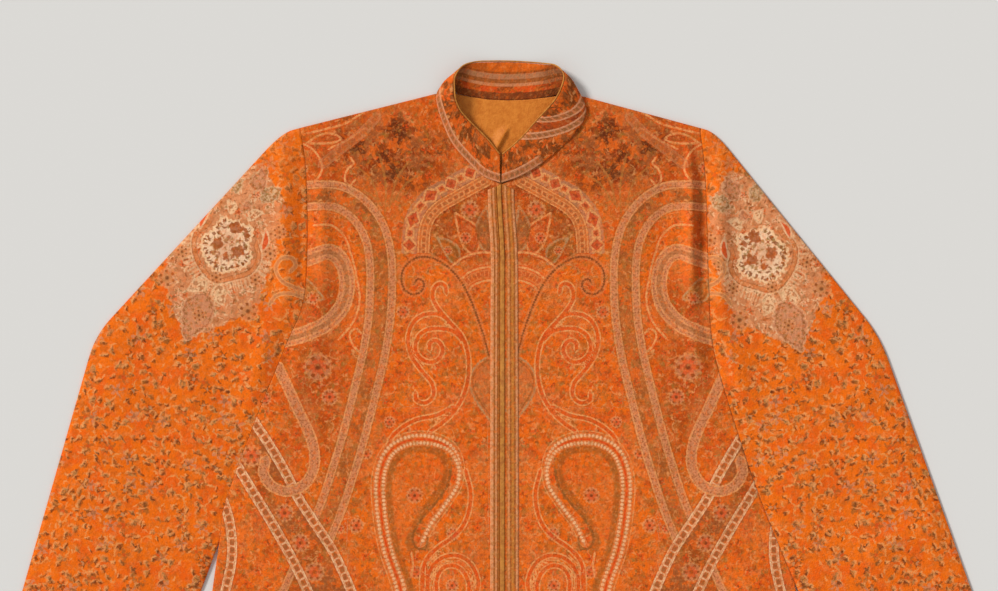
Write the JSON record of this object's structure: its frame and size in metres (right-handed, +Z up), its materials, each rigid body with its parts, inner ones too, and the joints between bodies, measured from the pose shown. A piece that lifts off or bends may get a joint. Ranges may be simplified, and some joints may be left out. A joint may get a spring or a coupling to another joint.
{
  "type": "kaftan",
  "caption": "Long-sleeved kaftan of orange paisley shawl cloth with a stand collar and open front, laid flat on its back, front up.",
  "frame": {"origin": "middle of the laid garment's outline, on the surface it rests on", "axes": "+X to the wearer's left, +Y from hem to collar, +Z up from the surface"},
  "size_m": [1.159, 1.3226, 0.0245],
  "materials": {
    "shawl_cloth": "woven paisley shawl cloth, soft wool sheen",
    "sleeve_cloth": "woven shawl cloth with small scattered flowers on orange",
    "collar_cloth": "woven shawl cloth, dark red and brown stripes",
    "border_cloth": "narrow woven striped border",
    "golden_cloth": "golden silk edging, satin",
    "lining_cloth": "mustard silk lining, satin"
  },
  "bodies": {
    "root": {"back_panel": "shawl_cloth", "front_panel_right": "shawl_cloth", "front_panel_left": "shawl_cloth", "sleeve_right_top": "sleeve_cloth", "sleeve_right_under": "sleeve_cloth", "sleeve_left_top": "sleeve_cloth", "sleeve_left_under": "sleeve_cloth", "collar_stand": "collar_cloth", "collar_piping": "golden_cloth", "back_neck_lining": "lining_cloth", "opening_band_right": "golden_cloth", "front_border_right": "border_cloth", "front_border_left": "border_cloth"}
  },
  "joints": []
}
